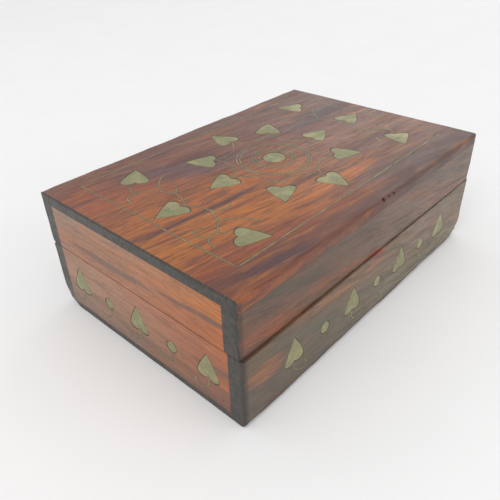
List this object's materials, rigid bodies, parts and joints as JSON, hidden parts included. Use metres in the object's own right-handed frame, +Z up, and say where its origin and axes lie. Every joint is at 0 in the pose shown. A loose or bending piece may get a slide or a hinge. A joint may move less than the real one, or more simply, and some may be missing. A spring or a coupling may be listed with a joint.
{
  "type": "inlaid wooden box",
  "caption": "Small oblong keepsake box in dark figured wood with a hinged lid and flush brass leaf and wire inlay.",
  "frame": {"origin": "centre of the underside of the base", "axes": "+X along the long side to the right as seen from the front, +Y to the hinged back, +Z up"},
  "size_m": [0.152, 0.102, 0.0513],
  "materials": {
    "lid_panel_wood": "worn satin, orange-brown with purple-brown streaks along the length",
    "lid_rail_wood": "worn satin, orange-brown with dark end grain",
    "base_long_wood": "worn satin, dark olive-brown with dark end grain",
    "base_end_wood": "worn satin, red-brown",
    "bottom_wood": "dull, dark brown",
    "lining_velvet": "dark red velvet pile",
    "sheet_brass": "dull hand-rubbed brass with greenish patina",
    "wire_brass": "tarnished brass wire",
    "hinge_brass": "aged brass, darker in the corners"
  },
  "bodies": {
    "base": {"base_front_board": "base_long_wood", "base_back_board": "base_long_wood", "base_left_board": "base_end_wood", "base_right_board": "base_end_wood", "base_bottom_panel": "bottom_wood", "base_floor_lining": "lining_velvet", "front_leaf_1": "sheet_brass", "front_leaf_2": "sheet_brass", "front_leaf_3": "sheet_brass", "front_leaf_4": "sheet_brass", "left_leaf_1": "sheet_brass", "left_leaf_2": "sheet_brass", "left_leaf_3": "sheet_brass", "right_leaf_1": "sheet_brass", "right_leaf_2": "sheet_brass", "right_leaf_3": "sheet_brass", "back_leaves": "sheet_brass", "front_buds": "sheet_brass", "back_buds": "sheet_brass", "left_buds": "sheet_brass", "right_buds": "sheet_brass", "front_stems": "wire_brass", "back_stems": "wire_brass", "left_stems": "wire_brass", "right_stems": "wire_brass", "left_hinge_base_leaf": "hinge_brass", "left_hinge_pin": "hinge_brass", "right_hinge_base_leaf": "hinge_brass", "right_hinge_pin": "hinge_brass", "base_hinge_nails": "hinge_brass"},
    "lid": {"lid_top_panel": "lid_panel_wood", "lid_front_rail": "lid_rail_wood", "lid_back_rail": "lid_rail_wood", "lid_left_rail": "lid_rail_wood", "lid_right_rail": "lid_rail_wood", "lid_ring_leaf_1": "sheet_brass", "lid_ring_leaf_2": "sheet_brass", "lid_ring_leaf_3": "sheet_brass", "lid_ring_leaf_4": "sheet_brass", "lid_ring_leaf_5": "sheet_brass", "lid_ring_leaf_6": "sheet_brass", "lid_ring_leaf_7": "sheet_brass", "lid_ring_leaf_8": "sheet_brass", "lid_left_back_leaf": "sheet_brass", "lid_left_middle_leaf": "sheet_brass", "lid_left_front_leaf": "sheet_brass", "lid_right_back_leaf": "sheet_brass", "lid_right_middle_leaf": "sheet_brass", "lid_right_front_leaf": "sheet_brass", "lid_centre_disc": "sheet_brass", "lid_inner_rings": "wire_brass", "lid_outer_rings": "wire_brass", "lid_scallop_wires": "wire_brass", "lid_left_vine": "wire_brass", "lid_right_vine": "wire_brass", "lid_border_wires": "wire_brass", "left_hinge_lid_leaf": "hinge_brass", "right_hinge_lid_leaf": "hinge_brass", "lid_hinge_nails": "hinge_brass"}
  },
  "joints": [
    {"name": "lid_hinge", "type": "hinge", "parent": "base", "child": "lid", "pos_m": [0, 0.0493, 0.0295], "axis": [-1, 0, 0], "range_deg": [0, 100]}
  ]
}
